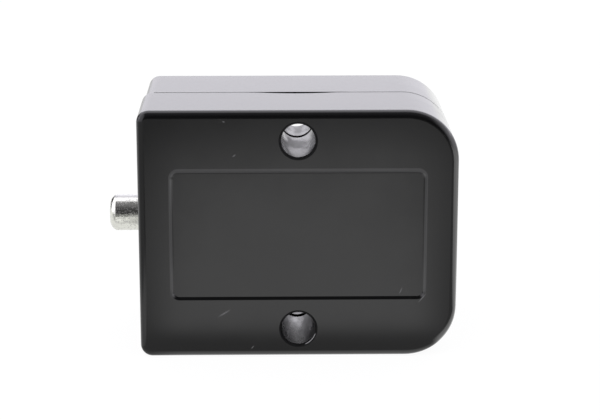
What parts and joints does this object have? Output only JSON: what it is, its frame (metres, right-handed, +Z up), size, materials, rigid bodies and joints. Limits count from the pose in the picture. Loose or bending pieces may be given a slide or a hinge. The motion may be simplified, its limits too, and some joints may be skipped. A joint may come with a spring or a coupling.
{
  "type": "cycle counter",
  "caption": "Mechanical cycle counter in a moulded black housing with a sprung steel plunger, a row of number wheels behind a front window and two through screw holes.",
  "frame": {"origin": "on the rear mounting face, midway between the two screw holes", "axes": "+X along the plunger into the body, +Y from the rear face towards the window face, +Z up across the two screw holes"},
  "size_m": [0.0704, 0.038, 0.0506],
  "materials": {
    "black_plastic": "gloss",
    "clear_lens": "clear",
    "plunger_steel": "ground",
    "plate_steel": "satin",
    "spring_steel": "satin",
    "brass": "satin",
    "rubber": "matt",
    "wheel_plastic": "satin"
  },
  "bodies": {
    "housing": {"rear_cover": "black_plastic", "front_cover": "black_plastic", "window_lens": "clear_lens", "plunger_bush": "brass", "plunger_seal": "rubber", "return_spring": "spring_steel", "frame_plate_upper": "plate_steel", "frame_plate_lower": "plate_steel", "wheel_shaft": "plate_steel", "pinion_shaft": "plate_steel", "pawl_shaft": "plate_steel", "tie_bar": "plate_steel", "thrust_washers": "brass"},
    "plunger": {"plunger": "plunger_steel"},
    "rocker": {"drive_rocker": "plate_steel"},
    "drive_pawl": {"drive_pawl": "plate_steel", "drive_pawl_spring": "spring_steel"},
    "check_pawl": {"check_pawl": "plate_steel", "check_pawl_spring": "spring_steel"},
    "units_wheel": {"number_wheel_1": "wheel_plastic"},
    "tens_wheel": {"number_wheel_2": "wheel_plastic"},
    "hundreds_wheel": {"number_wheel_3": "wheel_plastic"},
    "thousands_wheel": {"number_wheel_4": "wheel_plastic"},
    "ten_thousands_wheel": {"number_wheel_5": "wheel_plastic"},
    "hundred_thousands_wheel": {"number_wheel_6": "wheel_plastic"},
    "millions_wheel": {"number_wheel_7": "wheel_plastic"},
    "pinion_1": {"transfer_pinion_1": "brass"},
    "pinion_2": {"transfer_pinion_2": "brass"},
    "pinion_3": {"transfer_pinion_3": "brass"},
    "pinion_4": {"transfer_pinion_4": "brass"},
    "pinion_5": {"transfer_pinion_5": "brass"},
    "pinion_6": {"transfer_pinion_6": "brass"}
  },
  "joints": [
    {"name": "plunger_slide", "type": "slide", "parent": "housing", "child": "plunger", "axis": [1, 0, 0], "range_m": [0, 0.0066], "stiffness_N_per_m": 700, "springref_m": -0.0043, "deforming": ["return_spring"]},
    {"name": "rocker_swing", "type": "hinge", "parent": "housing", "child": "rocker", "pos_m": [0, 0.02942, 0], "axis": [0, 0, 1], "range_deg": [0, 36]},
    {"name": "drive_pawl_lift", "type": "hinge", "parent": "rocker", "child": "drive_pawl", "pos_m": [-0.0033, 0.01926, 0.0101], "axis": [0, 0, -1], "range_deg": [0, 8], "stiffness_Nm_per_rad": 0.0005, "springref_deg": -5.73},
    {"name": "check_pawl_lift", "type": "hinge", "parent": "housing", "child": "check_pawl", "pos_m": [0.00746, 0.031, 0.0101], "axis": [0, 0, -1], "range_deg": [0, 8], "stiffness_Nm_per_rad": 0.0005, "springref_deg": -5.73},
    {"name": "units_spin", "type": "hinge", "parent": "housing", "child": "units_wheel", "pos_m": [0, 0.02942, 0.009], "axis": [0, 0, 1], "continuous": true},
    {"name": "tens_spin", "type": "hinge", "parent": "housing", "child": "tens_wheel", "pos_m": [0, 0.02942, 0.006], "axis": [0, 0, 1], "continuous": true},
    {"name": "hundreds_spin", "type": "hinge", "parent": "housing", "child": "hundreds_wheel", "pos_m": [0, 0.02942, 0.003], "axis": [0, 0, 1], "continuous": true},
    {"name": "thousands_spin", "type": "hinge", "parent": "housing", "child": "thousands_wheel", "pos_m": [0, 0.02942, 0], "axis": [0, 0, 1], "continuous": true},
    {"name": "ten_thousands_spin", "type": "hinge", "parent": "housing", "child": "ten_thousands_wheel", "pos_m": [0, 0.02942, -0.003], "axis": [0, 0, 1], "continuous": true},
    {"name": "hundred_thousands_spin", "type": "hinge", "parent": "housing", "child": "hundred_thousands_wheel", "pos_m": [0, 0.02942, -0.006], "axis": [0, 0, 1], "continuous": true},
    {"name": "millions_spin", "type": "hinge", "parent": "housing", "child": "millions_wheel", "pos_m": [0, 0.02942, -0.009], "axis": [0, 0, 1], "continuous": true},
    {"name": "pinion_1_spin", "type": "hinge", "parent": "housing", "child": "pinion_1", "pos_m": [-0.0063, 0.02942, 0.0075], "axis": [0, 0, 1], "continuous": true},
    {"name": "pinion_2_spin", "type": "hinge", "parent": "housing", "child": "pinion_2", "pos_m": [-0.0063, 0.02942, 0.0045], "axis": [0, 0, 1], "continuous": true},
    {"name": "pinion_3_spin", "type": "hinge", "parent": "housing", "child": "pinion_3", "pos_m": [-0.0063, 0.02942, 0.0015], "axis": [0, 0, 1], "continuous": true},
    {"name": "pinion_4_spin", "type": "hinge", "parent": "housing", "child": "pinion_4", "pos_m": [-0.0063, 0.02942, -0.0015], "axis": [0, 0, 1], "continuous": true},
    {"name": "pinion_5_spin", "type": "hinge", "parent": "housing", "child": "pinion_5", "pos_m": [-0.0063, 0.02942, -0.0045], "axis": [0, 0, 1], "continuous": true},
    {"name": "pinion_6_spin", "type": "hinge", "parent": "housing", "child": "pinion_6", "pos_m": [-0.0063, 0.02942, -0.0075], "axis": [0, 0, 1], "continuous": true}
  ],
  "couplings": [
    {"joint": "rocker_swing", "follows": "plunger_slide", "rad_per_m": 95.199},
    {"joint": "tens_spin", "follows": "units_spin", "ratio": 0.1},
    {"joint": "hundreds_spin", "follows": "units_spin", "ratio": 0.01},
    {"joint": "thousands_spin", "follows": "units_spin", "ratio": 0.001},
    {"joint": "ten_thousands_spin", "follows": "units_spin", "ratio": 0.0001},
    {"joint": "hundred_thousands_spin", "follows": "units_spin", "ratio": 0.00001},
    {"joint": "millions_spin", "follows": "units_spin", "ratio": 0.000001},
    {"joint": "pinion_1_spin", "follows": "units_spin", "ratio": -0.25},
    {"joint": "pinion_2_spin", "follows": "units_spin", "ratio": -0.025},
    {"joint": "pinion_3_spin", "follows": "units_spin", "ratio": -0.0025},
    {"joint": "pinion_4_spin", "follows": "units_spin", "ratio": -0.00025},
    {"joint": "pinion_5_spin", "follows": "units_spin", "ratio": -0.000025},
    {"joint": "pinion_6_spin", "follows": "units_spin", "ratio": -0.0000025}
  ]
}
